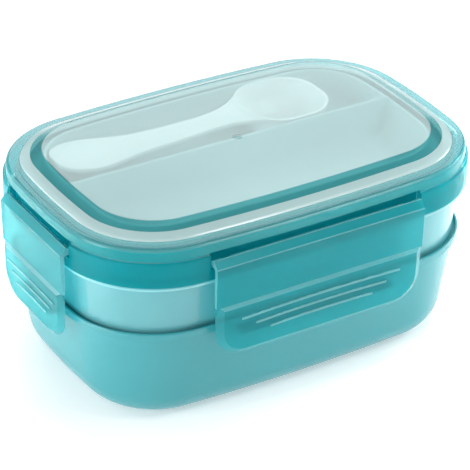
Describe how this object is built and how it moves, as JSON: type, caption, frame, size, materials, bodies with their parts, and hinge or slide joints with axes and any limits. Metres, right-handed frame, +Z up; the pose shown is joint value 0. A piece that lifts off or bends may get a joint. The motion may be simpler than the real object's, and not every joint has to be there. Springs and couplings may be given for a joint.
{
  "type": "bento lunch box",
  "caption": "Stacked plastic bento lunch box with a translucent lid, hinged side latches that hook the lower tier, a divided top tray and a spoon.",
  "frame": {"origin": "on the ground plane under the middle of the base", "axes": "+X along the long side, +Y from the wide latch that faces the viewer to the other wide latch, +Z up"},
  "size_m": [0.223, 0.1528, 0.1037],
  "materials": {
    "lower_tier": "opaque mid teal polypropylene, satin gloss",
    "upper_tier": "opaque pale teal polypropylene, satin gloss",
    "tray": "very pale teal polypropylene, satin gloss",
    "lid": "clear teal polypropylene, glossy, see-through",
    "seal": "milky silicone",
    "latch": "see-through teal polypropylene, glossy",
    "spoon": "milky white polypropylene"
  },
  "bodies": {
    "lower_box": {"lower_box": "lower_tier"},
    "upper_box": {"upper_box": "upper_tier"},
    "top_tray": {"top_tray": "tray"},
    "spoon": {"spoon": "spoon"},
    "lid": {"lid": "lid", "lid_seal": "seal"},
    "front_latch": {"front_latch": "latch"},
    "rear_latch": {"rear_latch": "latch"},
    "left_latch": {"left_latch": "latch"},
    "right_latch": {"right_latch": "latch"}
  },
  "joints": [
    {"name": "upper_box_lift", "type": "slide", "parent": "lower_box", "child": "upper_box", "axis": [0, 0, 1], "range_m": [0, 0.12]},
    {"name": "top_tray_lift", "type": "slide", "parent": "upper_box", "child": "top_tray", "axis": [0, 0, 1], "range_m": [0, 0.12]},
    {"name": "spoon_lift", "type": "slide", "parent": "top_tray", "child": "spoon", "axis": [0, 0, 1], "range_m": [0, 0.12]},
    {"name": "lid_lift", "type": "slide", "parent": "spoon", "child": "lid", "axis": [0, 0, 1], "range_m": [0, 0.12]},
    {"name": "front_latch_hinge", "type": "hinge", "parent": "lid", "child": "front_latch", "pos_m": [0, -0.071, 0.0869], "axis": [-1, 0, 0], "range_deg": [0, 115]},
    {"name": "rear_latch_hinge", "type": "hinge", "parent": "lid", "child": "rear_latch", "pos_m": [0, 0.071, 0.0869], "axis": [1, 0, 0], "range_deg": [0, 115]},
    {"name": "left_latch_hinge", "type": "hinge", "parent": "lid", "child": "left_latch", "pos_m": [-0.106, 0, 0.0869], "axis": [0, 1, 0], "range_deg": [0, 115]},
    {"name": "right_latch_hinge", "type": "hinge", "parent": "lid", "child": "right_latch", "pos_m": [0.106, 0, 0.0869], "axis": [0, -1, 0], "range_deg": [0, 115]}
  ]
}
